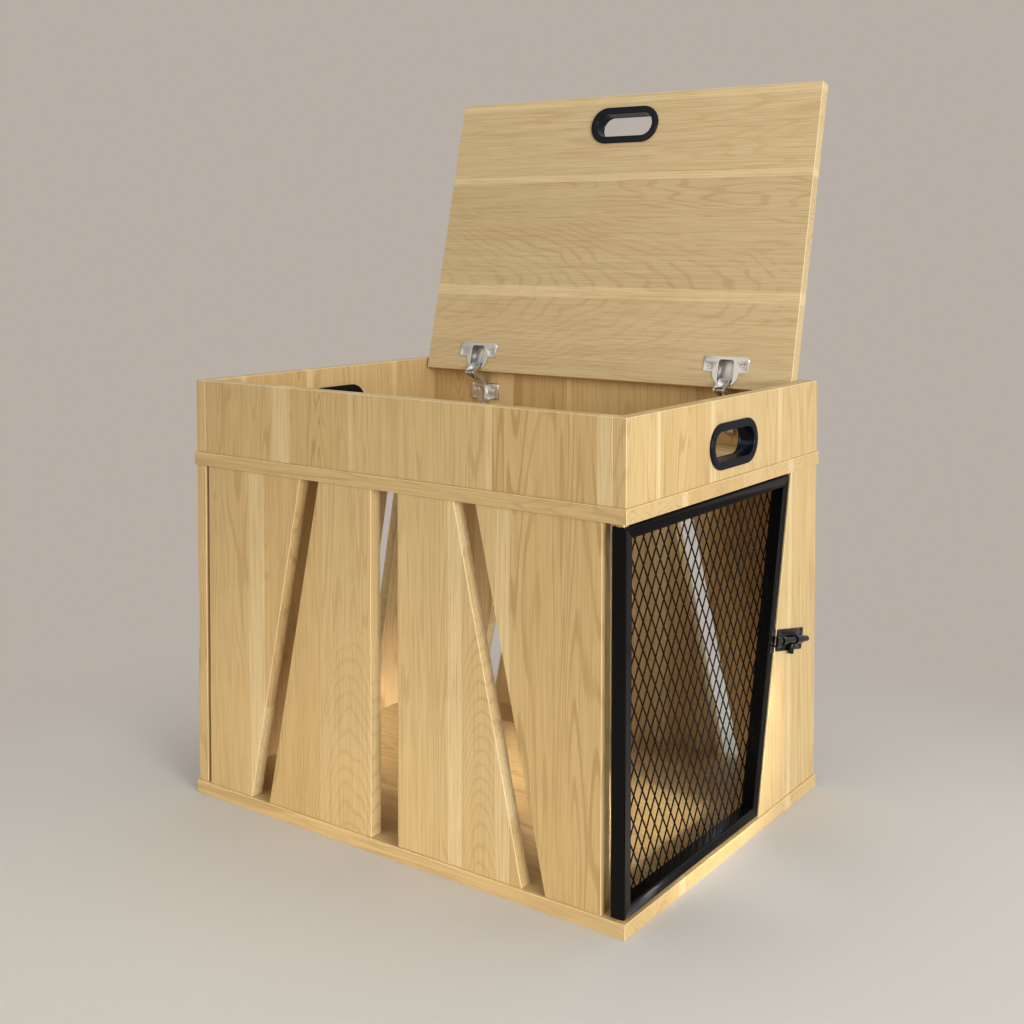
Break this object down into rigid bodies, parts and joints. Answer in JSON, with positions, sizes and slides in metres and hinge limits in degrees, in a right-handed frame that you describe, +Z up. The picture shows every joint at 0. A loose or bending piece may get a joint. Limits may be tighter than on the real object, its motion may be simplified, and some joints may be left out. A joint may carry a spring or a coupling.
{
  "type": "dog crate end table",
  "caption": "End table with a slatted pet cabin, a pivoted mesh door with slide bolt, and a storage tray under a hinged lid.",
  "frame": {"origin": "centre of the base board's underside", "axes": "+X towards the door end, +Y towards the lid's hinge side, +Z up"},
  "size_m": [0.6091, 0.4832, 0.847],
  "materials": {
    "oak_board": "satin",
    "beech_dowel": "matte",
    "black_powder_coat": "satin",
    "black_enamel": "gloss",
    "black_plastic": "gloss",
    "nickel_steel": "satin",
    "zinc_steel": "satin",
    "brass": "satin"
  },
  "bodies": {
    "carcass": {"base_board": "oak_board", "deck_board": "oak_board", "left_end_front_panel": "oak_board", "left_end_rear_panel": "oak_board", "right_end_panel": "oak_board", "tray_front_board": "oak_board", "tray_rear_board": "oak_board", "tray_left_board": "oak_board", "tray_right_board": "oak_board", "front_slat_1": "oak_board", "front_slat_2": "oak_board", "front_slat_3": "oak_board", "front_slat_4": "oak_board", "rear_slat_1": "oak_board", "rear_slat_2": "oak_board", "rear_slat_3": "oak_board", "rear_slat_4": "oak_board", "left_grip_outer": "black_plastic", "left_grip_inner": "black_plastic", "right_grip_outer": "black_plastic", "right_grip_inner": "black_plastic", "left_hinge_arm": "nickel_steel", "right_hinge_arm": "nickel_steel", "left_mounting_plate": "nickel_steel", "right_mounting_plate": "nickel_steel", "plate_screws": "nickel_steel", "arm_screws": "nickel_steel", "arm_pins": "nickel_steel", "latch_plate": "black_enamel", "latch_screws": "black_enamel", "base_screws": "zinc_steel", "deck_screws": "zinc_steel", "tray_dowels": "beech_dowel", "corner_dowels": "beech_dowel", "pivot_bushes": "brass", "pivot_washers": "brass"},
    "outer_links": {"left_outer_link": "nickel_steel", "right_outer_link": "nickel_steel"},
    "lid": {"lid_board": "oak_board", "lid_grip_under": "black_plastic", "lid_grip_upper": "black_plastic", "left_hinge_cup": "nickel_steel", "right_hinge_cup": "nickel_steel", "cup_screws": "nickel_steel", "cup_pins": "nickel_steel"},
    "inner_links": {"left_inner_link": "nickel_steel", "right_inner_link": "nickel_steel"},
    "door": {"door_hinge_stile": "black_powder_coat", "door_latch_stile": "black_powder_coat", "door_top_rail": "black_powder_coat", "door_bottom_rail": "black_powder_coat", "door_mesh": "black_powder_coat", "door_pivot_pins": "zinc_steel", "keeper": "black_enamel", "keeper_screws": "black_enamel"},
    "bolt": {"latch_bolt": "black_enamel", "latch_knob": "black_enamel"}
  },
  "joints": [
    {"name": "outer_link_swing", "type": "hinge", "parent": "carcass", "child": "outer_links", "pos_m": [0, 0.16216, 0.47355], "axis": [1, 0, 0], "range_deg": [-12.93, 0]},
    {"name": "lid_swing", "type": "hinge", "parent": "outer_links", "child": "lid", "pos_m": [0, 0.18051, 0.4814], "axis": [1, 0, 0], "range_deg": [0, 115.62]},
    {"name": "inner_link_swing", "type": "hinge", "parent": "carcass", "child": "inner_links", "pos_m": [0, 0.17625, 0.46705], "axis": [1, 0, 0], "range_deg": [0, 14.79]},
    {"name": "door_swing", "type": "hinge", "parent": "carcass", "child": "door", "pos_m": [0.29, -0.203, 0], "axis": [0, 0, -1], "range_deg": [0, 220]},
    {"name": "bolt_slide", "type": "slide", "parent": "carcass", "child": "bolt", "axis": [0, -0.9805, 0.1966], "range_m": [0, 0.014]}
  ],
  "couplings": [
    {"joint": "outer_link_swing", "follows": "lid_swing", "ratio": -0.11178},
    {"joint": "inner_link_swing", "follows": "lid_swing", "ratio": 0.12791}
  ]
}
